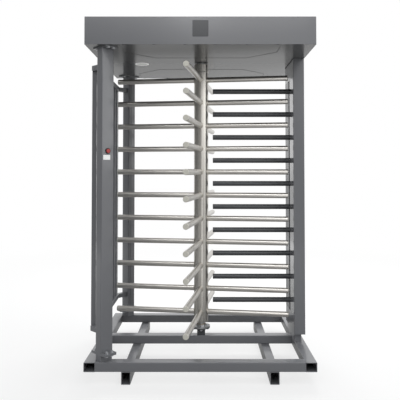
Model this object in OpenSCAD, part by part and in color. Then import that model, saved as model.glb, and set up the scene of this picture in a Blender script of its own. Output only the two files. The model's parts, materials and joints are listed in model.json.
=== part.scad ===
// Full height turnstile: a base frame, a canopy on two left posts and a comb column,
// and a four wing rotor whose arms pass between the fixed bars of the comb.
// The origin is on the floor under the rotor's axis. The entry side faces -Y.

/* [Overall] */
// Width of the canopy, and over the base rails
unit_w = 1500; // [1470:10:1600]
// Depth of the base frame
base_d = 1230; // [1180:10:1300]
// How far the canopy reaches past the base frame, front and rear
canopy_overhang = 35; // [30:1:60]
// Height of the canopy's sides
canopy_h = 180; // [160:5:240]

/* [Barrier] */
// Levels of rotor arms
arm_levels = 11; // [7:1:11]
// Height between two arm levels
arm_pitch = 175; // [165:1:180]
// Outer diameter of a rotor arm
arm_d = 40; // [34:1:44]
// Wall of a rotor arm
arm_wall = 3; // [2:0.5:4]
// Gap between an arm's tip and the comb column
arm_tip_gap = 16; // [10:1:30]
// Turn of the rotor in its resting place, from square to the front
rest_turn = -8.2; // [-12:0.1:12]
// Diameter of a fixed comb bar
comb_d = 38; // [32:1:42]
// Gap between a comb bar's tip and the rotor's column
comb_tip_gap = 34; // [20:1:60]

/* [Rotor] */
// Outer diameter of the rotor's column
rotor_d = 108; // [100:1:120]
// Wall of the rotor's column
rotor_wall = 4; // [3:0.5:6]
// Length of the column below its lowest arm
rotor_tail = 70; // [60:1:80]
// Length of the column above its top arm
rotor_head = 53; // [40:1:60]
// Diameter of the upper shaft
shaft_d = 60; // [50:1:64]
// Diameter of the pivot under the column
pivot_d = 45; // [35:1:50]

/* [Canopy] */
// Height from the top arm to the canopy's underside
head_gap = 125; // [110:1:150]
// Thickness of the canopy's sheet and its underside plates
sheet_t = 3; // [2:0.5:4]
// Half depth of the fixed underside band at the rotor
band_y = 219; // [210:1:240]
// Run of that band's slanted edges, sideways
band_run = 195; // [150:5:210]
// Distance from a post's axis to the service hatch, sideways
hatch_edge = 105; // [100:1:130]
// Width of an indicator window
window_w = 104; // [80:1:130]
// Height of an indicator window
window_h = 108; // [80:1:120]
// Diameter of the downlight's rim
light_d = 103; // [90:1:120]
// Distance from the service hatch's end to the downlight's axis
light_edge = 73; // [60:1:100]

/* [Posts and guard] */
// Distance of a left post's axis from the unit's side
post_edge_x = 120; // [100:1:130]
// Distance of a left post's axis from the base frame's end
post_edge_y = 59; // [50:1:70]
// Width of a post's broad face
post_w = 95; // [85:1:105]
// Depth of a post between its broad faces
post_t = 65; // [58:1:72]
// Thickness of the posts' folded sheet
post_sheet = 2.5; // [2:0.5:4]
// Distance of the guard's centre line from the unit's side
guard_edge = 35; // [30:1:45]
// Width of a guard rail
guard_w = 40; // [30:1:44]
// Height of a guard rail
guard_h = 35; // [25:1:45]
// Number of upright slats in the guard
slat_count = 8; // [5:1:9]
// Width of a slat along the guard
slat_w = 60; // [40:1:70]
// Thickness of a slat across the guard
slat_t = 30; // [15:1:34]

/* [Comb column] */
// Width of the comb column across the unit
column_w = 80; // [70:1:100]
// Depth of the comb column
column_d = 400; // [320:5:440]
// Gap between a comb bar and the edges of the slot that it comes out of
slot_gap = 5; // [2:0.5:10]

/* [Base] */
// Width of a base tube
rail_w = 75; // [60:1:90]
// Height of a base tube
rail_h = 60; // [50:1:80]
// Width of a runner
runner_w = 60; // [50:1:80]
// Height of a runner
runner_h = 80; // [60:1:90]
// Wall of the base tubes and runners
tube_wall = 4; // [3:0.5:6]
// Distance of a runner's centre from the unit's side
runner_edge = 272; // [230:2:310]
// Height of the lower bearing's pedestal
pedestal_h = 57; // [50:1:90]

/* [Push buttons] */
// Height of a push button above the floor
button_z = 1500; // [1000:10:1600]
// Diameter of the red cap
cap_d = 28; // [24:1:30]
// Diameter of the black bezel
bezel_d = 38; // [34:1:44]
// Travel of the cap
press_travel = 4; // [3:0.5:5]

/* [Mechanism] */
// Gap between the lock disc and the damper's shaft
disc_gap = 7; // [5:0.5:12]
// Swing of a lock pawl between free and locked
pawl_swing = 14; // [13:1:16]
// Teeth of the gear on the rotor's shaft
gear_teeth = 88; // [88:4:96]
// Teeth of the damper's pinion
pinion_teeth = 22; // [22:1:24]
// Module of the damper gears
gear_module = 2; // [2:0.05:2.2]

/* [Hidden] */
$fn = 64;
// Overrun of every cut
cut = 1;
// Radial clearance of a piece that turns or slides in another
running_gap = 0.05;
// Radial clearance of a piece that is fixed in another
seat_gap = 0.1;
// Distance kept between two faces that pass each other
pass_gap = 3;
// Corner radius of the drawn and folded tubes
tube_r = 4;

// Lower bearing
pedestal_w = 60;
pedestal_wall = 5;
pedestal_plate_t = 6;
flange_t = 12;
flange_edge = 17;
flange_bolt_room = 13;
hub_wall = 7.45;
hub_h = 12;
bush_wall = 6;
bush_rim_w = 5;
bush_rim_t = 3;
pivot_collar_w = 7;
pivot_collar_h = 6;
pivot_disc_t = 10;
pivot_reveal = 18;
pivot_tip_gap = 4;
bush_d = pivot_d + 2 * running_gap + 2 * bush_wall;
hub_d = bush_d + 2 * hub_wall;
flange_pcd = hub_d + 2 * flange_bolt_room;
flange_d = flange_pcd + 2 * flange_edge;

// Heights, from the floor up
deck_z = runner_h + rail_h;
flange_z = deck_z + pedestal_h;
pivot_tip_z = flange_z + pivot_tip_gap;
housing_top_z = flange_z + flange_t + hub_h;
bush_top_z = housing_top_z + bush_rim_t;
rotor_low_z = bush_top_z + pivot_reveal;
first_arm_z = rotor_low_z + rotor_tail;
top_arm_z = first_arm_z + (arm_levels - 1) * arm_pitch;
under_z = top_arm_z + head_gap;
top_z = under_z + canopy_h;
rotor_high_z = top_arm_z + rotor_head;
plate_top_z = under_z + sheet_t;

// Base tubes
rail_x = (unit_w - rail_w) / 2;
runner_x = unit_w / 2 - runner_edge;
beam_len = unit_w - 2 * rail_w;
beam_y = (base_d - rail_w) / 2;

// Fasteners: one size of bolt with its nut, and the hatch screws
bolt_d = 12;
bolt_hex = 19;
bolt_head_h = 7.5;
nut_h = 10;
bolt_hole_d = 13;
bolt_spare = 4;
screw_d = 6;
screw_head_d = 10;
screw_head_h = 3;
screw_tail = 8;
screw_hole_d = 6.4;

// Posts and their flanges
post_x = unit_w / 2 - post_edge_x;
post_y = base_d / 2 - post_edge_y;
post_turn = 45;
post_r = 8;
cover_depth = 42;
cover_lap = 14;
cover_gap = 0.3;
flange_plate_t = 8;
flange_reach = 45;
flange_side = 1.5;
flange_bolt_edge = 18;
flange_half_l = post_t / 2 + flange_reach;
flange_plate_w = post_w - 2 * flange_side;
flange_plate_r = 5;
flange_bolt_m = flange_half_l - flange_bolt_edge;
flange_bolt_w = 20;
stub_h = 40;
stub_inset = 3;
stub_w = post_w - 2 * stub_inset;
stub_t = post_t - 2 * stub_inset;
stub_wall = 4;
weld_gap = 0.2;
foot_plate_z = deck_z + stub_h;
post_foot_z = foot_plate_z + flange_plate_t;
post_low_z = post_foot_z + flange_plate_t;
post_high_z = under_z - flange_plate_t;

// Guard
guard_low_drop = 9;
guard_high_drop = 17;
guard_low_z = first_arm_z - guard_low_drop;
guard_high_z = top_arm_z - guard_high_drop;
guard_wall = 3;
guard_x = unit_w / 2 - guard_edge;
guard_bend_y = post_y - (guard_x - post_x);

// Comb column
column_sheet = 3;
column_head_gap = 5;
column_x0 = unit_w / 2 - column_w;
column_foot_h = 56;
column_foot_w = 50;
column_foot_inset = 6;
column_foot_end = 30;
column_foot_d = column_d - 2 * column_foot_end;
column_low_z = deck_z + column_foot_h;
band_low_rise = 8;
band_high_drop = 6;
band_low_z = first_arm_z + band_low_rise;
band_high_z = top_arm_z - band_high_drop;
panel_t = 2.5;
panel_gap = 0.5;
panel_lip = 12;
spine_inset = 20;
spine_back_gap = 7;
spine_x0 = column_x0 + spine_inset;
spine_w = column_w - spine_inset - spine_back_gap - column_sheet;
spine_wall = 4;
slot_w = comb_d + 2 * slot_gap;
comb_tip_x = rotor_d / 2 + comb_tip_gap;
comb_wall = 3;
comb_end_t = 5;
comb_edge = 1.5;

// Rotor arms
arm_reach = column_x0 - arm_tip_gap;
arm_root_gap = 4;
arm_root_r = arm_d / 2 + arm_root_gap;
arm_cap_t = 4;
arm_cap_edge = 3;
arm_plug_l = 22;

// Shaft and sleeve at the rotor's top
head_disc_t = 12;
sleeve_wall = 5;
sleeve_floor_t = 6;
sleeve_edge = 1.5;
sleeve_low_gap = 6;
sleeve_high_gap = 8;

// Canopy shell and underside
canopy_d = base_d + 2 * canopy_overhang;
canopy_r = 5;
hatch_x = post_x - hatch_edge;
band_x = hatch_x - band_run;
light_x = hatch_x - light_edge;
lip_w = 20;
lip_gap = 1.5;
seam = 2;
shaft_hole_gap = 5;
shaft_hole_d = shaft_d + 2 * shaft_hole_gap;
window_drop = 23;
window_z = top_z - window_drop - window_h / 2;
window_r = 6;
window_gap = 0.3;
window_rim = 6;
window_rim_t = 2;
light_rim_t = 2.5;
light_rim_w = 7.5;
light_can_d = light_d - 2 * light_rim_w;
light_can_h = 32;
light_wall = 2;
light_lens_t = 3;
band_bend_y = band_y + band_run;
// Half sizes of the underside plates
edge_x = unit_w / 2 - sheet_t - lip_gap;
edge_y = canopy_d / 2 - sheet_t - lip_gap;
screw_inset = 10;
screw_count = 6;

// Mechanism in the canopy
mech_w = 400;
mech_d = 380;
mech_t = 10;
mech_top_z = plate_top_z + mech_t;
bearing_ring_w = 17.5;
bearing_d = shaft_d + 2 * bearing_ring_w;
bearing_h = 18;
ball_d = 12;
ball_count = 11;
ring_gap = 7;
bearing_floor_t = 5;
bearing_flange_gap = 7;
bearing_flange_t = 9;
bearing_wall = 11;
bearing_z = mech_top_z + bearing_floor_t + bearing_flange_t;
hub_step = 1;
// Radius of the circle that the balls run on
ball_path_r = (shaft_d + bearing_d) / 4;
disc_hub_d = 2 * (ball_path_r - ring_gap / 2 - hub_step);
disc_hub_drop = 13;
disc_t = 12;
disc_z = bearing_z + bearing_h + disc_hub_drop;
notch_count = 4;
notch_w = 18;
notch_depth = 18;
notch_turn = 45;
pawl_arm = 80;
pawl_bar_w = 18;
pawl_bar_gap = 5;
pawl_boss_d = 30;
pawl_tooth_w = 14;
pawl_tip_w = 8;
pawl_tooth_gap = 4;
pawl_pin_d = 12;
pawl_pin_l = 30;
pawl_lift = 4;
solenoid_d = 50;
gear_t = 12;
gear_rise = 15;
gear_z = disc_z + disc_t + gear_rise;
gear_hub_h = 8;
shaft_top_z = gear_z + gear_t + gear_hub_h;
pinion_turn = 225;
gear_backlash = 0.3;
pressure_angle = 20;
damper_d = 56;
damper_pin_d = 10;
damper_pin_l = 20;
centre_r = gear_module * (gear_teeth + pinion_teeth) / 2;
disc_r = centre_r - damper_pin_d / 2 - disc_gap;
pawl_r = disc_r + pawl_bar_w / 2 + pawl_bar_gap;
bearing_flange_d = 2 * (centre_r - damper_d / 2 - bearing_flange_gap);
solenoid_h = disc_z - pawl_lift - mech_top_z;
box_x = 330;
box_w = 240;
box_d = 180;
box_h = 90;
box_wall = 2;
box_lid_t = 3;

// Push button and plate, measured along the broad face's normal
post_face = post_t / 2;
barrel_d = 22;
barrel_l = 34;
bezel_h = 5;
bezel_floor = 0.5;
cap_gap = 0.3;
cap_proud = 4.5;
cap_edge = 1;
stem_d = 10;
stem_l = 22;
label_w = 54;
label_h = 31;
label_t = 1;
label_drop = 42;
label_shift = 8;

paint_grey = [0.46, 0.46, 0.47];
paint_dark = [0.22, 0.23, 0.24];
stainless = [0.72, 0.71, 0.68];
steel_bright = [0.62, 0.63, 0.64];
zinc = [0.68, 0.69, 0.70];
bronze = [0.66, 0.50, 0.26];
plastic_black = [0.07, 0.07, 0.08];
plastic_pale = [0.78, 0.77, 0.73];
plastic_red = [0.70, 0.18, 0.16];
plate_white = [0.90, 0.90, 0.88];
window_dark = [0.20, 0.21, 0.23];
lens_white = [0.88, 0.89, 0.88];
box_grey = [0.70, 0.71, 0.70];

// A rectangle with round corners, centred
module rounded_rect(w, d, r) {
    square([w - 2 * r, d], center = true);
    square([w, d - 2 * r], center = true);
    for (x = [-1, 1], y = [-1, 1])
        translate([x * (w / 2 - r), y * (d / 2 - r)])
            circle(r);
}

// Cross-section of a drawn tube with round outer corners
module tube_section(w, h, wall) {
    difference() {
        rounded_rect(w, h, tube_r);
        square([w - 2 * wall, h - 2 * wall], center = true);
    }
}

// A tube of height h along Y, centred on its own middle
module tube_along_y(w, h, wall, l) {
    translate([0, l / 2, 0])
        rotate([90, 0, 0])
            linear_extrude(l)
                tube_section(w, h, wall);
}

// A tube of height h along X, centred on its own middle
module tube_along_x(w, h, wall, l) {
    rotate([0, 0, 90])
        tube_along_y(w, h, wall, l);
}

// Bolt and nut through a stack: the head's seat is at z = 0 and the shank runs up
module bolt(grip) {
    translate([0, 0, -bolt_head_h])
        cylinder(d = bolt_hex / cos(30), h = bolt_head_h, $fn = 6);
    cylinder(d = bolt_d, h = grip + nut_h + bolt_spare);
    translate([0, 0, grip])
        cylinder(d = bolt_hex / cos(30), h = nut_h, $fn = 6);
}

// Places children at the four bolts of the lower bearing's flange
module at_flange_bolts() {
    for (a = [0 : 90 : 270])
        rotate([0, 0, a])
            translate([flange_pcd / 2, 0, 0])
                children();
}

// Puts children in a left post's own frame: X along its broad face, Y out of it.
// side is -1 for the front post and 1 for the rear one.
module at_post(side) {
    mirror([0, side < 0 ? 1 : 0, 0])
        translate([-post_x, post_y, 0])
            rotate([0, 0, -post_turn])
                children();
}

// Base frame

module base_rail(side) {
    color(paint_grey)
        translate([side * rail_x, 0, deck_z - rail_h / 2])
            tube_along_y(rail_w, rail_h, tube_wall, base_d);
}

module base_beam(y) {
    color(paint_grey)
        translate([0, y, deck_z - rail_h / 2])
            tube_along_x(rail_w, rail_h, tube_wall, beam_len);
}

module runner(side) {
    color(paint_grey)
        translate([side * runner_x, 0, runner_h / 2])
            tube_along_y(runner_w, runner_h, tube_wall, base_d);
}

// Lower bearing

module bearing_pedestal() {
    color(paint_dark) {
        translate([0, 0, deck_z])
            linear_extrude(flange_z - pedestal_plate_t - deck_z)
                tube_section(pedestal_w, pedestal_w, pedestal_wall);
        translate([0, 0, flange_z - pedestal_plate_t])
            difference() {
                cylinder(d = flange_d, h = pedestal_plate_t);
                at_flange_bolts()
                    translate([0, 0, -cut])
                        cylinder(d = bolt_hole_d, h = pedestal_plate_t + 2 * cut);
            }
    }
}

module lower_bearing_housing() {
    color(steel_bright)
        difference() {
            union() {
                translate([0, 0, flange_z])
                    cylinder(d = flange_d, h = flange_t);
                translate([0, 0, flange_z + flange_t])
                    cylinder(d = hub_d, h = hub_h);
            }
            translate([0, 0, flange_z - cut])
                cylinder(d = bush_d + 2 * seat_gap, h = flange_t + hub_h + 2 * cut);
            at_flange_bolts()
                translate([0, 0, flange_z - cut])
                    cylinder(d = bolt_hole_d, h = flange_t + 2 * cut);
        }
}

module lower_bush() {
    color(bronze)
        difference() {
            union() {
                translate([0, 0, flange_z + seat_gap])
                    cylinder(d = bush_d, h = housing_top_z - flange_z);
                translate([0, 0, housing_top_z])
                    cylinder(d = bush_d + 2 * bush_rim_w, h = bush_rim_t);
            }
            translate([0, 0, flange_z - cut])
                cylinder(d = pivot_d + 2 * running_gap, h = bush_top_z - flange_z + 2 * cut);
        }
}

module frame_bolts() {
    color(zinc) {
        translate([0, 0, flange_z + flange_t])
            at_flange_bolts()
                mirror([0, 0, 1])
                    bolt(pedestal_plate_t + flange_t);
        for (side = [-1, 1])
            at_post(side)
                for (x = [-1, 1], y = [-1, 1])
                    translate([x * flange_bolt_w, y * flange_bolt_m, 0]) {
                        translate([0, 0, foot_plate_z])
                            bolt(2 * flange_plate_t);
                        translate([0, 0, post_high_z])
                            bolt(flange_plate_t + sheet_t);
                    }
    }
}

// Left posts

// A flange plate that reaches out past both broad faces
module post_flange() {
    linear_extrude(flange_plate_t)
        difference() {
            rounded_rect(flange_plate_w, 2 * flange_half_l, flange_plate_r);
            for (x = [-1, 1], y = [-1, 1])
                translate([x * flange_bolt_w, y * flange_bolt_m])
                    circle(d = bolt_hole_d);
        }
}

// The folded channel behind the cover, with a flange at each end
module post(side) {
    inner_w = post_w - 2 * (post_sheet + cover_gap);
    color(paint_grey)
        at_post(side) {
            translate([0, 0, post_low_z + weld_gap])
                linear_extrude(post_high_z - post_low_z - 2 * weld_gap)
                    difference() {
                        rounded_rect(inner_w, post_t, post_r);
                        rounded_rect(inner_w - 2 * post_sheet, post_t - 2 * post_sheet, post_r - post_sheet);
                        translate([-post_w / 2, post_t / 2 - cover_depth + cover_lap])
                            square([post_w, post_t]);
                    }
            translate([0, 0, post_foot_z])
                post_flange();
            translate([0, 0, post_high_z])
                post_flange();
        }
}

// The cover that wraps the broad face on the walkway's side
module post_cover(side) {
    color(paint_grey)
        at_post(side)
            difference() {
                translate([0, 0, post_low_z])
                    linear_extrude(post_high_z - post_low_z)
                        difference() {
                            rounded_rect(post_w, post_t, post_r);
                            rounded_rect(post_w - 2 * post_sheet, post_t - 2 * post_sheet, post_r - post_sheet);
                            translate([-post_w / 2 - cut, -post_t / 2 - cut])
                                square([post_w + 2 * cut, post_t - cover_depth + cut]);
                        }
                translate([0, post_face - post_sheet - cut, button_z])
                    rotate([-90, 0, 0])
                        cylinder(d = barrel_d + 2 * seat_gap, h = post_sheet + 2 * cut);
            }
}

module post_foot(side) {
    color(paint_grey)
        at_post(side) {
            translate([0, 0, deck_z])
                linear_extrude(stub_h - weld_gap)
                    tube_section(stub_w, stub_t, stub_wall);
            translate([0, 0, foot_plate_z])
                post_flange();
        }
}

// Push buttons

module button_barrel(side) {
    color(plastic_black)
        at_post(side)
            translate([0, post_face, button_z])
                rotate([-90, 0, 0])
                    difference() {
                        union() {
                            cylinder(d = bezel_d, h = bezel_h);
                            translate([0, 0, -barrel_l])
                                cylinder(d = barrel_d, h = barrel_l);
                        }
                        translate([0, 0, bezel_floor])
                            cylinder(d = cap_d + 2 * cap_gap, h = bezel_h);
                        translate([0, 0, -barrel_l + bezel_h])
                            cylinder(d = stem_d + 2 * running_gap, h = barrel_l);
                    }
}

module button_cap(side) {
    color(plastic_red)
        at_post(side)
            translate([0, post_face, button_z])
                rotate([-90, 0, 0]) {
                    translate([0, 0, bezel_floor + cap_gap + press_travel])
                        cylinder(d = cap_d, h = cap_proud - cap_edge);
                    translate([0, 0, bezel_floor + cap_gap + press_travel + cap_proud - cap_edge])
                        cylinder(d1 = cap_d, d2 = cap_d - 2 * cap_edge, h = cap_edge);
                    translate([0, 0, bezel_floor + cap_gap + press_travel - stem_l])
                        cylinder(d = stem_d, h = stem_l);
                }
}

module button_plates() {
    color(plate_white)
        for (side = [-1, 1])
            at_post(side)
                translate([-label_shift - label_w / 2, post_face, button_z - label_drop - label_h / 2])
                    cube([label_w, label_t, label_h]);
}

// Guard on the left

// One straight length of guard rail between two plan points, mitred at its ends
module guard_length(p, q, mitre_p, mitre_q) {
    l = norm(q - p);
    a = atan2(q[1] - p[1], q[0] - p[0]);
    translate([p[0], p[1], guard_h / 2])
        rotate([0, 0, a])
            difference() {
                translate([l / 2, 0, 0])
                    tube_along_x(guard_w, guard_h, guard_wall, l + 2 * guard_w);
                rotate([0, 0, mitre_p])
                    translate([-2 * guard_w + weld_gap, -2 * guard_w, -guard_h])
                        cube([2 * guard_w, 4 * guard_w, 2 * guard_h]);
                translate([l, 0, 0])
                    rotate([0, 0, mitre_q])
                        translate([-weld_gap, -2 * guard_w, -guard_h])
                            cube([2 * guard_w, 4 * guard_w, 2 * guard_h]);
            }
}

module guard_rail(z) {
    reach = post_t / 2 / sqrt(2);
    front = [-post_x - reach, -post_y + reach];
    front_bend = [-guard_x, -guard_bend_y];
    rear_bend = [-guard_x, guard_bend_y];
    rear = [-post_x - reach, post_y - reach];
    color(paint_grey)
        translate([0, 0, z]) {
            guard_length(front, front_bend, 0, -post_turn / 2);
            guard_length(front_bend, rear_bend, post_turn / 2, -post_turn / 2);
            guard_length(rear_bend, rear, post_turn / 2, 0);
        }
}

module guard_slats() {
    z0 = guard_low_z + guard_h;
    y0 = -guard_bend_y + guard_w / 4;
    step = (2 * guard_bend_y - guard_w / 2 - slat_w) / (slat_count - 1);
    color(paint_grey)
        for (i = [0 : slat_count - 1])
            translate([-guard_x - guard_w / 2, y0 + i * step, z0])
                translate([slat_t / 2, slat_w / 2, 0])
                    linear_extrude(guard_high_z - z0)
                        difference() {
                            square([slat_t, slat_w], center = true);
                            square([slat_t - 2 * guard_wall, slat_w - 2 * guard_wall], center = true);
                        }
}

// Comb column on the right

module comb_column_shell() {
    color(paint_grey)
        difference() {
            translate([column_x0 + column_w / 2, 0, column_low_z])
                linear_extrude(under_z - column_low_z)
                    difference() {
                        rounded_rect(column_w, column_d, tube_r);
                        square([column_w - 2 * column_sheet, column_d - 2 * column_sheet], center = true);
                    }
            translate([column_x0 - cut, -column_d / 2 + column_sheet + panel_lip, band_low_z])
                cube([column_sheet + 2 * cut, column_d - 2 * (column_sheet + panel_lip), band_high_z - band_low_z]);
            translate([column_x0 - cut, -column_d / 2 + tube_r, under_z - column_head_gap])
                cube([column_sheet + cut, column_d - 2 * tube_r, column_head_gap + cut]);
        }
}

module comb_panel(side) {
    y_in = slot_w / 2;
    y_out = column_d / 2 - column_sheet - panel_lip - panel_gap;
    z0 = band_low_z + panel_gap;
    color(paint_grey)
        translate([column_x0, side < 0 ? -y_out : y_in, z0]) {
            cube([panel_t, y_out - y_in, band_high_z - panel_gap - z0]);
            translate([panel_t, side < 0 ? y_out - y_in - panel_t : 0, 0])
                cube([panel_lip, panel_t, band_high_z - panel_gap - z0]);
        }
}

module comb_spine() {
    color(paint_dark)
        translate([spine_x0 + spine_w / 2, 0, column_low_z])
            linear_extrude(under_z - column_low_z)
                tube_section(spine_w, spine_w, spine_wall);
}

module comb_column_foot() {
    color(paint_grey)
        translate([column_x0 + column_foot_inset + column_foot_w / 2, 0, deck_z])
            linear_extrude(column_foot_h)
                tube_section(column_foot_w, column_foot_d, tube_wall);
}

module comb_bars() {
    bar_l = spine_x0 - comb_tip_x;
    color(paint_dark)
        for (i = [0 : arm_levels - 2])
            translate([comb_tip_x, 0, first_arm_z + (i + 0.5) * arm_pitch])
                rotate([0, 90, 0])
                    difference() {
                        union() {
                            cylinder(d1 = comb_d - 2 * comb_edge, d2 = comb_d, h = comb_edge);
                            translate([0, 0, comb_edge])
                                cylinder(d = comb_d, h = bar_l - comb_edge);
                        }
                        translate([0, 0, comb_end_t])
                            cylinder(d = comb_d - 2 * comb_wall, h = bar_l);
                    }
}

// Canopy

module canopy_shell() {
    inner_w = unit_w - 2 * sheet_t;
    inner_d = canopy_d - 2 * sheet_t;
    color(paint_grey)
        difference() {
            translate([0, 0, under_z])
                linear_extrude(canopy_h)
                    rounded_rect(unit_w, canopy_d, canopy_r);
            translate([-inner_w / 2, -inner_d / 2, under_z - cut])
                cube([inner_w, inner_d, sheet_t + cut]);
            translate([-inner_w / 2 + lip_w, -inner_d / 2 + lip_w, under_z])
                cube([inner_w - 2 * lip_w, inner_d - 2 * lip_w, canopy_h - sheet_t]);
            translate([-inner_w / 2, -inner_d / 2, under_z + 2 * sheet_t])
                cube([inner_w, inner_d, canopy_h - 3 * sheet_t]);
            for (side = [-1, 1])
                translate([0, side * canopy_d / 2, window_z])
                    rotate([90, 0, 0])
                        translate([0, 0, -2 * sheet_t])
                            linear_extrude(4 * sheet_t)
                                rounded_rect(window_w, window_h, window_r);
            at_hatch_screws()
                translate([0, 0, under_z])
                    cylinder(d = screw_hole_d, h = 3 * sheet_t);
        }
}

// Screws along each hatch's outer edge, into the shell's lip
module at_hatch_screws() {
    span = 2 * (hatch_x - seam) - 4 * screw_inset;
    for (side = [-1, 1], i = [0 : screw_count - 1])
        translate([-span / 2 + i * span / (screw_count - 1), side * (edge_y - screw_inset), 0])
            children();
}

module canopy_underside() {
    outline = [
        [-edge_x, -edge_y], [-hatch_x, -edge_y], [-hatch_x, -band_bend_y], [-band_x, -band_y],
        [band_x, -band_y], [hatch_x, -band_bend_y], [hatch_x, -edge_y], [edge_x, -edge_y],
        [edge_x, edge_y], [hatch_x, edge_y], [hatch_x, band_bend_y], [band_x, band_y],
        [-band_x, band_y], [-hatch_x, band_bend_y], [-hatch_x, edge_y], [-edge_x, edge_y]
    ];
    color(paint_grey)
        difference() {
            translate([0, 0, under_z])
                linear_extrude(sheet_t)
                    polygon(outline);
            translate([0, 0, under_z - cut])
                cylinder(d = shaft_hole_d, h = sheet_t + 2 * cut);
            translate([-light_x, 0, under_z - cut])
                cylinder(d = light_can_d + 2 * seat_gap, h = sheet_t + 2 * cut);
            for (side = [-1, 1])
                at_post(side)
                    for (x = [-1, 1], y = [-1, 1])
                        translate([x * flange_bolt_w, y * flange_bolt_m, under_z - cut])
                            cylinder(d = bolt_hole_d, h = sheet_t + 2 * cut);
        }
}

module service_hatch(side) {
    outer = hatch_x - seam;
    outline = [
        [-outer, edge_y], [-outer, band_bend_y + seam], [-band_x, band_y + seam],
        [band_x, band_y + seam], [outer, band_bend_y + seam], [outer, edge_y]
    ];
    color(paint_grey)
        difference() {
            translate([0, 0, under_z])
                linear_extrude(sheet_t)
                    mirror([0, side < 0 ? 1 : 0])
                        polygon(outline);
            at_hatch_screws()
                translate([0, 0, under_z - cut])
                    cylinder(d = screw_hole_d, h = sheet_t + 2 * cut);
        }
}

module hatch_screws() {
    color(zinc)
        at_hatch_screws() {
            translate([0, 0, under_z - screw_head_h])
                cylinder(d = screw_head_d, h = screw_head_h);
            translate([0, 0, under_z])
                cylinder(d = screw_d, h = screw_tail);
        }
}

module indicator_windows() {
    color(window_dark)
        for (side = [-1, 1])
            translate([0, side * (canopy_d / 2 - sheet_t), window_z])
                rotate([side * -90, 0, 0]) {
                    linear_extrude(sheet_t)
                        rounded_rect(window_w - 2 * window_gap, window_h - 2 * window_gap, window_r);
                    translate([0, 0, -window_rim_t])
                        linear_extrude(window_rim_t)
                            rounded_rect(window_w + 2 * window_rim, window_h + 2 * window_rim, window_r);
                }
}

module downlight_rim() {
    color(stainless)
        translate([-light_x, 0, under_z])
            difference() {
                union() {
                    translate([0, 0, -light_rim_t])
                        cylinder(d = light_d, h = light_rim_t);
                    cylinder(d = light_can_d, h = light_can_h);
                }
                translate([0, 0, -light_rim_t - cut])
                    cylinder(d = light_can_d - 2 * light_wall, h = light_can_h + light_rim_t - light_wall + cut);
            }
}

module downlight_lens() {
    color(lens_white)
        translate([-light_x, 0, under_z - light_rim_t / 2])
            cylinder(d = light_can_d - 2 * light_wall - 2 * seat_gap, h = light_lens_t);
}

// Mechanism in the canopy

module mechanism_plate() {
    color(steel_bright)
        difference() {
            translate([-mech_w / 2, -mech_d / 2, plate_top_z])
                cube([mech_w, mech_d, mech_t]);
            translate([0, 0, plate_top_z - cut])
                cylinder(d = shaft_hole_d, h = mech_t + 2 * cut);
        }
}

module upper_bearing_housing() {
    color(steel_bright)
        difference() {
            union() {
                translate([0, 0, mech_top_z])
                    cylinder(d = bearing_flange_d, h = bearing_flange_t);
                translate([0, 0, mech_top_z])
                    cylinder(d = bearing_d + 2 * bearing_wall, h = bearing_z + bearing_h - mech_top_z);
            }
            translate([0, 0, mech_top_z - cut])
                cylinder(d = bearing_d - bearing_wall, h = bearing_z + bearing_h - mech_top_z + 2 * cut);
            translate([0, 0, bearing_z])
                cylinder(d = bearing_d + 2 * seat_gap, h = bearing_h + cut);
        }
}

module ball_groove() {
    translate([0, 0, bearing_z + bearing_h / 2])
        rotate_extrude()
            translate([ball_path_r, 0])
                circle(d = ball_d + 2 * running_gap);
}

module upper_bearing_outer() {
    color(steel_bright)
        difference() {
            translate([0, 0, bearing_z])
                cylinder(d = bearing_d, h = bearing_h);
            translate([0, 0, bearing_z - cut])
                cylinder(r = ball_path_r + ring_gap / 2, h = bearing_h + 2 * cut);
            ball_groove();
        }
}

module upper_bearing_inner() {
    color(steel_bright) {
        difference() {
            translate([0, 0, bearing_z])
                cylinder(r = ball_path_r - ring_gap / 2, h = bearing_h);
            translate([0, 0, bearing_z - cut])
                cylinder(d = shaft_d + 2 * running_gap, h = bearing_h + 2 * cut);
            ball_groove();
        }
        for (i = [0 : ball_count - 1])
            rotate([0, 0, i * 360 / ball_count])
                translate([ball_path_r, 0, bearing_z + bearing_h / 2])
                    sphere(d = ball_d);
    }
}

module lock_disc() {
    color(steel_bright)
        difference() {
            union() {
                translate([0, 0, disc_z])
                    cylinder(r = disc_r, h = disc_t);
                translate([0, 0, disc_z - disc_hub_drop])
                    cylinder(d = disc_hub_d, h = disc_hub_drop);
            }
            translate([0, 0, disc_z - disc_hub_drop - cut])
                cylinder(d = shaft_d + 2 * running_gap, h = disc_hub_drop + disc_t + 2 * cut);
            for (i = [0 : notch_count - 1])
                rotate([0, 0, notch_turn + i * 360 / notch_count])
                    translate([disc_r - notch_depth, -notch_w / 2, disc_z - cut])
                        cube([2 * notch_depth, notch_w, disc_t + 2 * cut]);
        }
}

// A pawl beside the disc: hand is 1 where its pivot lies clockwise of the notch
module at_pawl(hand) {
    rotate([0, 0, hand > 0 ? notch_turn : notch_turn - 180])
        mirror([hand > 0 ? 0 : 1, 0, 0])
            translate([pawl_arm, pawl_r, 0])
                children();
}

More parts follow.
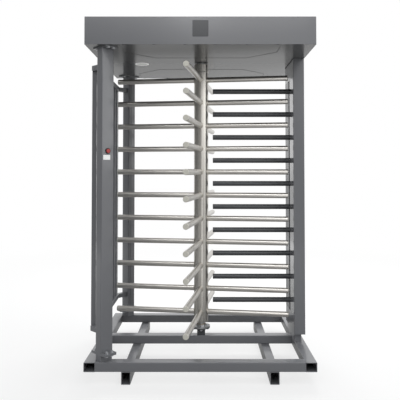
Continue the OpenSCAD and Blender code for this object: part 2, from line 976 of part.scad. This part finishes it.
module lock_pawl(hand) {
    tooth_l = pawl_r - disc_r + notch_depth - pawl_tooth_gap;
    color(steel_bright)
        at_pawl(hand)
            rotate([0, 0, -pawl_swing]) {
                translate([0, 0, disc_z])
                    linear_extrude(disc_t) {
                        circle(d = pawl_boss_d);
                        translate([-pawl_arm - pawl_tooth_w / 2, -pawl_bar_w / 2])
                            square([pawl_arm + pawl_tooth_w / 2, pawl_bar_w]);
                        translate([-pawl_arm, 0])
                            polygon([
                                [-pawl_tooth_w / 2, 0], [-pawl_tooth_w / 2, -pawl_bar_w / 2],
                                [-pawl_tip_w / 2, -tooth_l], [pawl_tip_w / 2, -tooth_l],
                                [pawl_tooth_w / 2, -pawl_bar_w / 2], [pawl_tooth_w / 2, 0]
                            ]);
                    }
                translate([0, 0, disc_z - pawl_lift - pawl_pin_l])
                    cylinder(d = pawl_pin_d, h = pawl_pin_l + pawl_lift);
            }
}

module lock_solenoids() {
    color(plastic_black)
        for (hand = [-1, 1])
            at_pawl(hand)
                translate([0, 0, mech_top_z])
                    difference() {
                        cylinder(d = solenoid_d, h = solenoid_h);
                        translate([0, 0, solenoid_h - pawl_pin_l - cut])
                            cylinder(d = pawl_pin_d + 2 * running_gap, h = pawl_pin_l + 2 * cut);
                    }
}

// Involute gear outline
function involute_deg(a) = tan(a) * 180 / PI - a;
function flank_deg(r, pitch_r, base_r, half) =
    half + involute_deg(acos(base_r / pitch_r)) - involute_deg(acos(min(1, base_r / r)));
function gear_points(teeth) =
    let (
        pitch_r = gear_module * teeth / 2,
        base_r = pitch_r * cos(pressure_angle),
        tip_r = pitch_r + gear_module,
        root_r = pitch_r - 1.25 * gear_module,
        half = (PI * gear_module / 2 - gear_backlash / 2) / 2 / pitch_r * 180 / PI,
        low_r = max(root_r, base_r),
        radii = [low_r, (low_r + pitch_r) / 2, pitch_r, (pitch_r + tip_r) / 2, tip_r]
    )
    [for (i = [0 : teeth - 1])
        let (a = i * 360 / teeth)
        each concat(
            root_r < base_r ? [root_r * [cos(a - flank_deg(low_r, pitch_r, base_r, half)),
                                         sin(a - flank_deg(low_r, pitch_r, base_r, half))]] : [],
            [for (r = radii)
                r * [cos(a - flank_deg(r, pitch_r, base_r, half)), sin(a - flank_deg(r, pitch_r, base_r, half))]],
            [for (j = [len(radii) - 1 : -1 : 0])
                let (r = radii[j])
                r * [cos(a + flank_deg(r, pitch_r, base_r, half)), sin(a + flank_deg(r, pitch_r, base_r, half))]],
            root_r < base_r ? [root_r * [cos(a + flank_deg(low_r, pitch_r, base_r, half)),
                                         sin(a + flank_deg(low_r, pitch_r, base_r, half))]] : []
        )
    ];

module drive_gear() {
    color(steel_bright)
        difference() {
            union() {
                translate([0, 0, gear_z])
                    rotate([0, 0, pinion_turn])
                        linear_extrude(gear_t)
                            polygon(gear_points(gear_teeth));
                translate([0, 0, disc_z + disc_t])
                    cylinder(d = disc_hub_d, h = shaft_top_z - disc_z - disc_t);
            }
            translate([0, 0, disc_z])
                cylinder(d = shaft_d + 2 * running_gap, h = shaft_top_z - disc_z + cut);
        }
}

module at_damper() {
    rotate([0, 0, pinion_turn])
        translate([centre_r, 0, 0])
            children();
}

module damper_pinion() {
    low_z = disc_z - pawl_lift - damper_pin_l;
    color(steel_bright)
        at_damper() {
            translate([0, 0, gear_z])
                rotate([0, 0, 180 + 180 / pinion_teeth])
                    linear_extrude(gear_t)
                        polygon(gear_points(pinion_teeth));
            translate([0, 0, low_z])
                cylinder(d = damper_pin_d, h = gear_z - low_z);
        }
}

module damper_body() {
    color(plastic_black)
        at_damper()
            translate([0, 0, mech_top_z])
                difference() {
                    cylinder(d = damper_d, h = solenoid_h);
                    translate([0, 0, solenoid_h - damper_pin_l - cut])
                        cylinder(d = damper_pin_d + 2 * running_gap, h = damper_pin_l + 2 * cut);
                }
}

module control_box() {
    color(box_grey)
        translate([box_x, -box_d / 2, plate_top_z])
            difference() {
                cube([box_w, box_d, box_h]);
                translate([box_wall, box_wall, box_wall])
                    cube([box_w - 2 * box_wall, box_d - 2 * box_wall, box_h - box_wall - box_lid_t]);
            }
}

// Rotor

module rotor_column() {
    color(stainless)
        difference() {
            translate([0, 0, rotor_low_z])
                linear_extrude(rotor_high_z - rotor_low_z)
                    difference() {
                        circle(d = rotor_d);
                        circle(d = rotor_d - 2 * rotor_wall);
                    }
            for (wing = [0 : 3], level = [0 : arm_levels - 1])
                at_arm(wing, level)
                    translate([0, 0, arm_root_r])
                        cylinder(d = arm_d + 2 * seat_gap, h = rotor_d);
        }
}

// Puts children on one arm: Z runs out along the arm from the rotor's axis
module at_arm(wing, level) {
    translate([0, 0, first_arm_z + level * arm_pitch])
        rotate([0, 0, rest_turn - 90 + wing * 90])
            rotate([0, 90, 0])
                children();
}

module wing(index) {
    tube_l = arm_reach - arm_cap_t - arm_root_r;
    color(stainless)
        for (level = [0 : arm_levels - 1])
            at_arm(index, level)
                translate([0, 0, arm_root_r])
                    difference() {
                        cylinder(d = arm_d, h = tube_l);
                        translate([0, 0, -cut])
                            cylinder(d = arm_d - 2 * arm_wall, h = tube_l + 2 * cut);
                    }
}

module arm_end_caps() {
    color(plastic_pale)
        for (index = [0 : 3], level = [0 : arm_levels - 1])
            at_arm(index, level)
                translate([0, 0, arm_reach - arm_cap_t]) {
                    translate([0, 0, -arm_plug_l])
                        cylinder(d = arm_d - 2 * arm_wall - 2 * seat_gap, h = arm_plug_l);
                    cylinder(d = arm_d, h = arm_cap_t - arm_cap_edge);
                    translate([0, 0, arm_cap_t - arm_cap_edge])
                        cylinder(d1 = arm_d, d2 = arm_d - 2 * arm_cap_edge, h = arm_cap_edge);
                }
}

module rotor_pivot() {
    color(steel_bright) {
        translate([0, 0, rotor_low_z])
            cylinder(d = rotor_d - 2 * rotor_wall - 2 * seat_gap, h = pivot_disc_t);
        translate([0, 0, pivot_tip_z])
            cylinder(d = pivot_d, h = rotor_low_z - pivot_tip_z);
        translate([0, 0, bush_top_z + cover_gap])
            cylinder(d = pivot_d + 2 * pivot_collar_w, h = pivot_collar_h);
    }
}

module rotor_shaft() {
    color(steel_bright) {
        translate([0, 0, rotor_high_z - head_disc_t])
            cylinder(d = rotor_d - 2 * rotor_wall - 2 * seat_gap, h = head_disc_t);
        translate([0, 0, rotor_high_z])
            cylinder(d = shaft_d, h = shaft_top_z - rotor_high_z);
    }
}

module rotor_top_sleeve() {
    r = rotor_d / 2;
    low_z = rotor_high_z + sleeve_low_gap;
    high = under_z - sleeve_high_gap - low_z;
    profile = [
        [shaft_d / 2 + seat_gap, 0], [r - sleeve_edge, 0], [r, sleeve_edge], [r, high - sleeve_edge],
        [r - sleeve_edge, high], [r - sleeve_wall, high], [r - sleeve_wall, sleeve_floor_t],
        [shaft_d / 2 + seat_gap, sleeve_floor_t]
    ];
    color(stainless)
        translate([0, 0, low_z])
            rotate_extrude()
                polygon(profile);
}

base_rail(-1);  // base_rail_left
base_rail(1);  // base_rail_right
base_beam(-beam_y);  // base_front_beam
base_beam(0);  // base_middle_beam
base_beam(beam_y);  // base_rear_beam
runner(-1);  // runner_left
runner(1);  // runner_right
bearing_pedestal();
lower_bearing_housing();
lower_bush();
frame_bolts();
post(-1);  // front_post
post_cover(-1);  // front_post_cover
post_foot(-1);  // front_post_foot
post(1);  // rear_post
post_cover(1);  // rear_post_cover
post_foot(1);  // rear_post_foot
button_barrel(-1);  // front_button_barrel
button_cap(-1);  // front_button_cap
button_barrel(1);  // rear_button_barrel
button_cap(1);  // rear_button_cap
button_plates();
guard_rail(guard_high_z);  // guard_top_rail
guard_rail(guard_low_z);  // guard_bottom_rail
guard_slats();
comb_column_shell();
comb_panel(-1);  // comb_panel_front
comb_panel(1);  // comb_panel_rear
comb_spine();
comb_column_foot();
comb_bars();
canopy_shell();
canopy_underside();
service_hatch(-1);  // service_hatch_front
service_hatch(1);  // service_hatch_rear
hatch_screws();
indicator_windows();
downlight_rim();
downlight_lens();
mechanism_plate();
upper_bearing_housing();
upper_bearing_outer();
upper_bearing_inner();
lock_disc();
lock_pawl(1);  // lock_pawl_in
lock_pawl(-1);  // lock_pawl_out
lock_solenoids();
drive_gear();
damper_pinion();
damper_body();
control_box();
rotor_column();
rotor_pivot();
rotor_shaft();
rotor_top_sleeve();
wing(0);  // wing_front
wing(1);  // wing_right
wing(2);  // wing_rear
wing(3);  // wing_left
arm_end_caps();
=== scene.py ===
import json
from math import radians

import bmesh
import bpy
from mathutils import Matrix, Vector


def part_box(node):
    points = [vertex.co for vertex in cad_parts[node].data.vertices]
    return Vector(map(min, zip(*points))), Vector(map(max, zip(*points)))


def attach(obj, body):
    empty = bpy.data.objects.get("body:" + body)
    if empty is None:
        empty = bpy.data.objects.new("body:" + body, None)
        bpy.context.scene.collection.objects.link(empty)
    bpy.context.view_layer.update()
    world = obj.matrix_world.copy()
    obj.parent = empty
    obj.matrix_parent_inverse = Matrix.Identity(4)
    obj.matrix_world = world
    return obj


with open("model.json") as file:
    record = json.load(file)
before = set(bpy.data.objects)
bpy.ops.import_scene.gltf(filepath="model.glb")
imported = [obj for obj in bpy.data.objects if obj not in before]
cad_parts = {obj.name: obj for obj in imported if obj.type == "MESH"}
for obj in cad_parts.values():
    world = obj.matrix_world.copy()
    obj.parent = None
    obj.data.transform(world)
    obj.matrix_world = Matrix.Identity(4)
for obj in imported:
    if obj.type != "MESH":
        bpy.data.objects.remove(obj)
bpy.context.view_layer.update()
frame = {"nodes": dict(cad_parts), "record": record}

# Full height turnstile, dressed for a photograph: paint, stainless steel and small trim
# on the built model, a pale floor, soft lamps and the camera. Metres, Z up, entry at -Y.

nodes = frame["nodes"]
scene = bpy.context.scene
print("frame loaded:", len(nodes), "nodes")


# Materials

def linearColour(code):  # "#rrggbb" as seen on screen, to the linear RGBA that shaders take
    channels = [int(code[i:i + 2], 16) / 255 for i in (1, 3, 5)]
    return [c / 12.92 if c <= 0.04045 else ((c + 0.055) / 1.055) ** 2.4 for c in channels] + [1]


def addNode(tree, kind, settings=None, links=None):
    node = tree.nodes.new(kind)
    for name, value in (settings or {}).items():
        if isinstance(name, str) and hasattr(node, name) and name not in node.inputs:
            setattr(node, name, value)
        else:
            node.inputs[name].default_value = value
    for name, source in (links or {}).items():
        tree.links.new(source, node.inputs[name])
    return node


def newMaterial(name):
    material = bpy.data.materials.new(name)
    material.use_nodes = True
    material.node_tree.nodes.clear()
    return material, material.node_tree


def finishMaterial(tree, shader):
    addNode(tree, "ShaderNodeOutputMaterial", links={"Surface": shader})


peelStyle = {"drawnMm": 7, "strength": 0.05, "deepMm": 0.2, "foldMm": 1.5, "foldSamples": 4,
             "coatRoughness": 0.12}


def powderCoat(name, colour, roughness, coat=0.0, specular=0.5, drawnMm=peelStyle["drawnMm"]):
    # Polyester powder, baked on folded sheet and tube: a soft sheen whose reflections have
    # broken edges. That comes from its orange peel, about 1 mm apart and too fine to show, so
    # it is drawn drawnMm apart. The folds are rounded by foldMm and catch a line of light.
    material, tree = newMaterial(name)
    place = addNode(tree, "ShaderNodeTexCoord").outputs["Object"]
    peel = addNode(tree, "ShaderNodeTexNoise",
                   {"Scale": 1000 / drawnMm, "Detail": 2.0, "Roughness": 0.5}, {"Vector": place})
    folds = addNode(tree, "ShaderNodeBevel",
                    {"samples": peelStyle["foldSamples"], "Radius": peelStyle["foldMm"] / 1000})
    skin = addNode(tree, "ShaderNodeBump",
                   {"Strength": peelStyle["strength"], "Distance": peelStyle["deepMm"] / 1000},
                   {"Height": peel.outputs["Fac"], "Normal": folds.outputs["Normal"]})
    shader = addNode(tree, "ShaderNodeBsdfPrincipled",
                     {"Base Color": linearColour(colour), "Roughness": roughness, "IOR": 1.5,
                      "Specular IOR Level": specular, "Coat Weight": coat,
                      "Coat Roughness": peelStyle["coatRoughness"]},
                     {"Normal": skin.outputs["Normal"]})
    finishMaterial(tree, shader.outputs["BSDF"])
    return material


grainStyle = {"drawnMm": 2, "stretch": 0.02, "deepMm": 0.4, "strength": 0.02, "glossSpread": 0.02}


def drawnStainless(name, colour, roughness, grain, turn=0.0):
    # Stainless tube, drawn and satin polished: long soft highlights with a dark line beside
    # them. Its grain runs along the tube, about 0.4 mm apart and too fine to show, so it is
    # drawn drawnMm apart. turn lays it along arms that stand off the axis by that angle.
    material, tree = newMaterial(name)
    place = addNode(tree, "ShaderNodeTexCoord").outputs["Object"]
    turned = addNode(tree, "ShaderNodeMapping", {"Rotation": (0, 0, radians(turn))},
                     {"Vector": place})
    scale = [1000 / grainStyle["drawnMm"] * (grainStyle["stretch"] if axis == grain else 1.0)
             for axis in "XYZ"]
    lay = addNode(tree, "ShaderNodeMapping", {"Scale": scale}, {"Vector": turned.outputs["Vector"]})
    lines = addNode(tree, "ShaderNodeTexNoise", {"Scale": 1.0, "Detail": 3.0},
                    {"Vector": lay.outputs["Vector"]})
    gloss = addNode(tree, "ShaderNodeMapRange",
                    {"From Min": 0.3, "From Max": 0.7,  # most of the noise lies in between
                     "To Min": roughness - grainStyle["glossSpread"],
                     "To Max": roughness + grainStyle["glossSpread"]},
                    {"Value": lines.outputs["Fac"]})
    skin = addNode(tree, "ShaderNodeBump",
                   {"Strength": grainStyle["strength"], "Distance": grainStyle["deepMm"] / 1000},
                   {"Height": lines.outputs["Fac"]})
    shader = addNode(tree, "ShaderNodeBsdfPrincipled",
                     {"Base Color": linearColour(colour), "Metallic": 1.0},
                     {"Roughness": gloss.outputs["Result"], "Normal": skin.outputs["Normal"]})
    finishMaterial(tree, shader.outputs["BSDF"])
    return material


skinStyle = {"strength": 0.15, "deepMm": 0.2}


def plain(name, colour, roughness, metallic=0.0, grainMm=0.0, glow=0.0):
    # Moulded plastics and turned or plated metals: even all over, with tool marks or a mould's
    # texture grainMm apart where they have one.
    material, tree = newMaterial(name)
    shader = addNode(tree, "ShaderNodeBsdfPrincipled",
                     {"Base Color": linearColour(colour), "Roughness": roughness,
                      "Metallic": metallic, "IOR": 1.5,
                      "Emission Color": linearColour(colour), "Emission Strength": glow})
    if grainMm:
        place = addNode(tree, "ShaderNodeTexCoord").outputs["Object"]
        grain = addNode(tree, "ShaderNodeTexNoise", {"Scale": 1000 / grainMm, "Detail": 2.0},
                        {"Vector": place})
        skin = addNode(tree, "ShaderNodeBump",
                       {"Strength": skinStyle["strength"], "Distance": skinStyle["deepMm"] / 1000},
                       {"Height": grain.outputs["Fac"]})
        tree.links.new(skin.outputs["Normal"], shader.inputs["Normal"])
    finishMaterial(tree, shader.outputs["BSDF"])
    return material


armTurn = 8.2  # degrees that the wings stand turned back from the axes at rest

finish = {  # by material slot
    "paint_grey": powderCoat("greyPowderCoat", "#737477", 0.28, coat=0.5),  # semi-gloss, cool mid grey
    "paint_dark": powderCoat("graphitePowderCoat", "#444649", 0.24),  # glossier, dark bars with thin lights
    "stainless": drawnStainless("wingStainlessAcross", "#cfccc7", 0.31, "X", armTurn),  # satin, warm
    "steel_bright": plain("turnedSteel", "#c0c1c2", 0.30, metallic=1.0, grainMm=2),  # tool marks
    "zinc": plain("zincPlate", "#c9cbce", 0.30, metallic=1.0),  # bluish, bright bolt heads
    "bronze": plain("sinteredBronze", "#94805c", 0.45, metallic=1.0, grainMm=1),  # dull, porous
    "plastic_black": plain("blackNylon", "#141416", 0.40, grainMm=2),  # satin mould texture
    "plastic_pale": plain("paleNylon", "#d8d5c9", 0.45, grainMm=3),  # matt, a little yellow
    "plastic_red": plain("redAcetal", "#b8322f", 0.32),  # moulded and shiny, a round highlight
    "plate_white": plain("whiteCoatedPlatePaintedGlow", "#f6f6f3", 0.45, glow=0.2),  # flat white, with a painted glow that keeps it white in shade
    "window_dark": plain("smokedAcrylic", "#3a3c40", 0.30),  # dark, the grey sheen of its surface
    "lens_white": plain("opalAcrylic", "#d2d3cf", 0.35, glow=0.12),  # milky, a little light in it
    "box_grey": plain("greyAbs", "#9a9c9a", 0.50, grainMm=3),  # moulded and matt
}
special = {  # single nodes whose finish differs from their slot's
    # Wide flat sheet and narrow panels: smoother coats that mirror what stands beside them
    # The underside and its hatches take the canopy's grey paint made darker: painted shade for the shade
    # under the canopy
    "canopy_underside": powderCoat("undersidePaintedShadeCoat", "#626364", 0.22, specular=0.27),
    "comb_panel_front": powderCoat("panelPowderCoat", "#6f7073", 0.18, coat=0.35, specular=0.4, drawnMm=14),
    # The rear panel is the panel paint made darker than the front one: painted shade
    "comb_panel_rear": powderCoat("panelRearPaintedShadeCoat", "#66676a", 0.24, specular=0.25, drawnMm=14),
    "base_front_beam": powderCoat("basePowderCoat", "#747578", 0.36, coat=0.4),  # worn a little dull
    "rotor_column": drawnStainless("columnStainless", "#c2bfb9", 0.28, "Z"),  # one tall highlight
    "wing_front": drawnStainless("wingStainlessAlong", "#cfccc7", 0.31, "Y", armTurn),
    "downlight_rim": plain("whiteDieCastPaintedGlow", "#ececea", 0.35, glow=0.4),  # painted white, with a painted glow that makes it read bright in the shade
    "hatch_screws": plain("blackenedSteel", "#3c3d3e", 0.40, metallic=0.6),  # black oxide, dark and satin
}
alike = {
    "rotor_column": ("rotor_top_sleeve",),
    "wing_front": ("wing_rear",),
    "canopy_underside": ("service_hatch_front", "service_hatch_rear"),
    "base_front_beam": ("base_middle_beam", "base_rear_beam", "base_rail_left", "base_rail_right",
                        "runner_left", "runner_right"),
}
for first, others in alike.items():
    for other in others:
        special[other] = special[first]

facets = {"mergeMm": 0.01, "creaseDegrees": 28}  # sharper folds than this stay sharp
for part in frame["record"]["subparts"]:
    name = part["node"]
    obj = nodes[name]
    obj.data.materials.clear()
    obj.data.materials.append(special.get(name, finish[part["material_slot"]]))
    obj.data.polygons.foreach_set("use_smooth", [True] * len(obj.data.polygons))
    weld = obj.modifiers.new("weld", "WELD")
    weld.merge_threshold = facets["mergeMm"] / 1000
    split = obj.modifiers.new("creases", "EDGE_SPLIT")
    split.split_angle = radians(facets["creaseDegrees"])
print("finishes on", len(nodes), "nodes")


# Trim: weld beads and the rubber in the hatch joints

def addPiece(name, bm, material, body):
    bmesh.ops.recalc_face_normals(bm, faces=bm.faces)
    mesh = bpy.data.meshes.new(name)
    bm.to_mesh(mesh)
    bm.free()
    mesh.materials.append(material)
    mesh.polygons.foreach_set("use_smooth", [True] * len(mesh.polygons))
    piece = bpy.data.objects.new(name, mesh)
    scene.collection.objects.link(piece)
    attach(piece, body)
    return piece


def vertsOf(geom):
    return [item for item in geom if isinstance(item, bmesh.types.BMVert)]


armWelds = {"rotorRadius": 0.054, "tubeRadius": 0.020, "bead": 0.0024, "steps": 28, "sides": 6,
            "levels": 11, "pitch": 0.175, "turn": -90 - armTurn}


def makeArmWelds(style):  # a bead round each arm, where it enters the rotor's column
    bm = bmesh.new()
    bead = Matrix.Translation((0, 0, style["tubeRadius"])) @ Matrix.Rotation(radians(90), 4, "X")
    bmesh.ops.create_circle(bm, segments=style["sides"], radius=style["bead"], matrix=bead)
    bmesh.ops.spin(bm, geom=bm.verts[:] + bm.edges[:], cent=(0, 0, 0), axis=(1, 0, 0),
                   angle=radians(360), steps=style["steps"], use_merge=True)
    for vert in bm.verts:  # the ring follows the column's round wall
        vert.co.x += (style["rotorRadius"] ** 2 - vert.co.y ** 2) ** 0.5
    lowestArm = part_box("wing_front")[0][2] + style["tubeRadius"]
    bmesh.ops.translate(bm, verts=bm.verts, vec=(0, 0, lowestArm))
    first = bm.verts[:] + bm.edges[:] + bm.faces[:]
    for level in range(1, style["levels"]):
        copied = bmesh.ops.duplicate(bm, geom=first)["geom"]
        bmesh.ops.translate(bm, verts=vertsOf(copied), vec=(0, 0, level * style["pitch"]))
    bmesh.ops.rotate(bm, verts=bm.verts, cent=(0, 0, 0),
                     matrix=Matrix.Rotation(radians(style["turn"]), 3, "Z"))
    wing = bm.verts[:] + bm.edges[:] + bm.faces[:]
    for quarter in (1, 2, 3):
        copied = bmesh.ops.duplicate(bm, geom=wing)["geom"]
        bmesh.ops.rotate(bm, verts=vertsOf(copied), cent=(0, 0, 0),
                         matrix=Matrix.Rotation(radians(90 * quarter), 3, "Z"))
    # Weld metal, left as laid: duller than the tubes, with a fine ripple
    return addPiece("arm_welds", bm, plain("stainlessWeld", "#b9b4aa", 0.38, metallic=1.0, grainMm=2),
                    "rotor")


frameWelds = {"bead": 0.0032, "ripple": 0.0026, "waist": 0.82, "sides": 8, "inset": 0.003}


def makeFrameWelds(style):  # an upright bead in each corner between a cross beam and a side rail
    bm = bmesh.new()
    low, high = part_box("base_front_beam")
    steps = round((high[2] - low[2] - 2 * style["inset"]) / style["ripple"])
    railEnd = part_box("base_rail_left")[1][1]
    for beam in ("base_front_beam", "base_middle_beam", "base_rear_beam"):
        low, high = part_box(beam)
        corners = [(x, y) for x in (low[0], high[0]) for y in (low[1], high[1])]
        for x, y in corners:
            if abs(y) > abs(railEnd) - style["inset"]:
                continue  # flush with the rails' ends, so there is no corner
            foot = Matrix.Translation((x, y, low[2] + style["inset"]))
            ring = bmesh.ops.create_circle(bm, cap_ends=True, segments=style["sides"],
                                           radius=style["bead"], matrix=foot)["verts"]
            face = list({f for v in ring for f in v.link_faces})
            for step in range(steps):
                grown = bmesh.ops.extrude_face_region(bm, geom=face)["geom"]
                if step:
                    bmesh.ops.delete(bm, geom=face, context="FACES_ONLY")
                face = [item for item in grown if isinstance(item, bmesh.types.BMFace)]
                bmesh.ops.translate(bm, verts=vertsOf(grown), vec=(0, 0, style["ripple"]))
                size = style["waist"] if step % 2 == 0 else 1 / style["waist"]
                bmesh.ops.scale(bm, verts=vertsOf(grown), vec=(size, size, 1), space=foot.inverted())
    return addPiece("frame_welds", bm, special["base_front_beam"], "frame")


hatchRubber = {"halfX": 0.524, "bandX": 0.330, "bandY": 0.220, "bendY": 0.415,
               "width": 0.0030, "proud": 0.0008}


def makeHatchRubber(style):  # a black strip along the joint of each service hatch
    bm = bmesh.new()
    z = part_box("canopy_underside")[0][2]
    corners = [(style["halfX"], style["bendY"]), (style["bandX"], style["bandY"])]
    route = corners + [(-x, y) for x, y in reversed(corners)]
    for side in (-1, 1):
        verts = [bm.verts.new((x, side * y, z)) for x, y in route]
        edges = [bm.edges.new(pair) for pair in zip(verts, verts[1:])]
        grown = bmesh.ops.extrude_edge_only(bm, edges=edges)["geom"]
        bmesh.ops.translate(bm, verts=vertsOf(grown), vec=(0, 0, -style["proud"]))
    bmesh.ops.recalc_face_normals(bm, faces=bm.faces)
    bmesh.ops.solidify(bm, geom=bm.faces[:], thickness=style["width"])
    # Extruded rubber, matt and nearly black, so the joint reads as a thin dark line
    return addPiece("hatch_rubber", bm, plain("blackRubber", "#1d1d1f", 0.6, grainMm=2),
                    "frame")


makeArmWelds(armWelds)
makeFrameWelds(frameWelds)
makeHatchRubber(hatchRubber)
print("trim: arm welds, frame welds, hatch rubber")


# Stage: floor, world and lamps

def lightPathMix(tree, lit, seen):  # seen by the camera and in reflections, lit for the rest
    path = addNode(tree, "ShaderNodeLightPath")
    mirror = addNode(tree, "ShaderNodeMath", {"operation": "MAXIMUM"},
                     {0: path.outputs["Is Camera Ray"], 1: path.outputs["Is Glossy Ray"]})
    either = addNode(tree, "ShaderNodeMath", {"operation": "MAXIMUM"},
                     {0: mirror.outputs[0], 1: path.outputs["Is Transmission Ray"]})
    mix = addNode(tree, "ShaderNodeMixShader", links={0: either.outputs[0], 1: lit, 2: seen})
    return mix.outputs[0]


def addStage(name, bm, material):
    mesh = bpy.data.meshes.new(name)
    bm.to_mesh(mesh)
    bm.free()
    mesh.materials.append(material)
    piece = bpy.data.objects.new(name, mesh)
    scene.collection.objects.link(piece)
    return piece


floorStyle = {"size": 60.0, "colour": "#8e8e8c", "seenColour": "#e8e8e6",
              "lift": 0.7, "mirrorLift": 0.2, "fadeFrom": 1.2, "fadeTo": 6.5}


def makeFloor(style):
    # Matt pale floor. Far from the turnstile it fades to white. Close to it, lift is the share
    # of white that the camera sees over the shadow, and mirrorLift what reflections see.
    bm = bmesh.new()
    bmesh.ops.create_grid(bm, x_segments=1, y_segments=1, size=style["size"] / 2)
    material, tree = newMaterial("paleFloor")
    seen = addNode(tree, "ShaderNodeLightPath").outputs["Is Camera Ray"]
    colour = addNode(tree, "ShaderNodeMix",
                     {"data_type": "RGBA", 6: linearColour(style["colour"]),
                      7: linearColour(style["seenColour"])}, {0: seen})
    matt = addNode(tree, "ShaderNodeBsdfDiffuse", links={"Color": colour.outputs[2]})
    glow = addNode(tree, "ShaderNodeEmission", {"Color": (1, 1, 1, 1), "Strength": 1.0})
    place = addNode(tree, "ShaderNodeTexCoord").outputs["Object"]
    away = addNode(tree, "ShaderNodeVectorMath", {"operation": "LENGTH"}, {"Vector": place})
    lift = addNode(tree, "ShaderNodeMath",
                   {"operation": "MULTIPLY_ADD", 1: style["lift"] - style["mirrorLift"],
                    2: style["mirrorLift"]}, {0: seen})
    share = addNode(tree, "ShaderNodeMapRange",
                    {"From Min": style["fadeFrom"], "From Max": style["fadeTo"],
                     "interpolation_type": "SMOOTHSTEP"},
                    {"Value": away.outputs["Value"], "To Min": lift.outputs[0]})
    both = addNode(tree, "ShaderNodeMixShader",
                   links={0: share.outputs[0], 1: matt.outputs[0], 2: glow.outputs[0]})
    finishMaterial(tree, lightPathMix(tree, matt.outputs[0], both.outputs[0]))
    addStage("floor", bm, material)


worldStyle = {"light": 0.84, "colour": "#f4f6fa"}


def makeWorld(style):
    world = bpy.data.worlds.new("studio")
    world.use_nodes = True
    tree = world.node_tree
    tree.nodes.clear()
    lit = addNode(tree, "ShaderNodeBackground",
                  {"Color": linearColour(style["colour"]), "Strength": style["light"]})
    seen = addNode(tree, "ShaderNodeBackground", {"Color": (1, 1, 1, 1), "Strength": 1.0})
    addNode(tree, "ShaderNodeOutputWorld",
            links={"Surface": lightPathMix(tree, lit.outputs[0], seen.outputs[0])})
    scene.world = world


walls = {  # angles in degrees round Z; a wall is dim near the floor and white higher up
    "dimSide": {"radius": 6.5, "low": 0.0, "high": 5.5, "from": 150, "to": 335, "steps": 20,
                "lean": 0.5, "dimBelow": 2.5, "brightAbove": 3.9, "dim": 0.32, "bright": 1.0},
    "dimBack": {"radius": 6.5, "low": 0.0, "high": 2.6, "from": 62, "to": 118, "steps": 8,
                "lean": 0.2, "dimBelow": 0.9, "brightAbove": 1.6, "dim": 0.64, "bright": 1.0},
}


def makeWall(name, style):  # a curved wall of the studio, there for reflections only
    bm = bmesh.new()
    turn = Matrix.Rotation(radians(style["from"]), 4, "Z")
    foot = bm.verts.new(turn @ Vector((style["radius"], 0, style["low"])))
    head = bm.verts.new(turn @ Vector((style["radius"], 0, style["high"])))
    edge = bm.edges.new((foot, head))
    bmesh.ops.spin(bm, geom=[foot, head, edge], cent=(0, 0, 0), axis=(0, 0, 1),
                   angle=radians(style["to"] - style["from"]), steps=style["steps"])
    material, tree = newMaterial(name + "Paint")
    place = addNode(tree, "ShaderNodeTexCoord").outputs["Object"]
    height = addNode(tree, "ShaderNodeVectorMath",
                     {"operation": "DOT_PRODUCT", 1: (style["lean"], 0, 1)}, {0: place})
    glow = addNode(tree, "ShaderNodeMapRange",
                   {"From Min": style["dimBelow"], "From Max": style["brightAbove"],
                    "To Min": style["dim"], "To Max": style["bright"],
                    "interpolation_type": "SMOOTHSTEP"}, {"Value": height.outputs["Value"]})
    paint = addNode(tree, "ShaderNodeEmission", {"Color": (1, 1, 1, 1)},
                    {"Strength": glow.outputs[0]})
    finishMaterial(tree, paint.outputs[0])
    wall = addStage(name, bm, material)
    wall.visible_camera = False
    wall.visible_diffuse = False
    wall.visible_shadow = False


lamps = {  # sheenOnly lamps are mirrored but light nothing, mattOnly ones leave no glare
    "front": {"at": (0.8, -6.0, 4.5), "aim": (0.0, 0.0, 1.4), "size": (3.0, 1.5), "watts": 33},
    "fill": {"at": (3.4, -3.0, 2.9), "aim": (0.0, 0.0, 1.6), "size": (1.8, 2.4), "watts": 14},
    "side": {"at": (3.6, -0.6, 2.6), "aim": (0.0, 0.0, 1.4), "size": (2.4, 2.4), "watts": 26},
    "back": {"at": (0.6, 3.6, 3.4), "aim": (0.0, 0.0, 0.4), "size": (3.0, 1.4), "watts": 160,
             "mattOnly": True},
    "strip": {"at": (0.52, -1.8, 1.06), "aim": (0.0, 0.0, 1.06), "size": (0.5, 2.1), "watts": 3,
              "sheenOnly": True},
    "over": {"at": (-0.7, -1.7, 3.0), "aim": (-0.4, 0.0, 1.0), "size": (1.8, 0.6), "watts": 13,
             "sheenOnly": True},
}


def makeLamp(name, style):
    light = bpy.data.lights.new(name, "AREA")
    light.shape = "RECTANGLE"
    light.size, light.size_y = style["size"]
    light.energy = style["watts"]
    lamp = bpy.data.objects.new(name, light)
    lamp.location = style["at"]
    aim = Vector(style["aim"]) - Vector(style["at"])
    lamp.rotation_euler = aim.to_track_quat("-Z", "Y").to_euler()
    lamp.visible_camera = False
    lamp.visible_diffuse = not style.get("sheenOnly")
    lamp.visible_glossy = not style.get("mattOnly")
    scene.collection.objects.link(lamp)


makeFloor(floorStyle)
makeWorld(worldStyle)
for wallName, wallStyle in walls.items():
    makeWall(wallName, wallStyle)
for lampName, lampStyle in lamps.items():
    makeLamp(lampName, lampStyle)
print("stage,", len(walls), "walls and", len(lamps), "lamps")


# Camera, where the photograph was taken from

cameraStyle = {"at": (0.035, -4.149, 1.366), "pitch": 1.62, "lens": 49.1, "sensor": 36,
               "shift": (-0.0145, -0.11), "farthest": 100}


def makeCamera(style):
    data = bpy.data.cameras.new("camera")
    data.sensor_width = style["sensor"]
    data.lens = style["lens"]
    data.shift_x, data.shift_y = style["shift"]
    data.clip_end = style["farthest"]
    camera = bpy.data.objects.new("camera", data)
    camera.rotation_euler = (radians(90 + style["pitch"]), 0, 0)
    camera.location = style["at"]
    scene.collection.objects.link(camera)
    scene.camera = camera


makeCamera(cameraStyle)
scene.view_settings.view_transform = "Standard"
print("camera set")
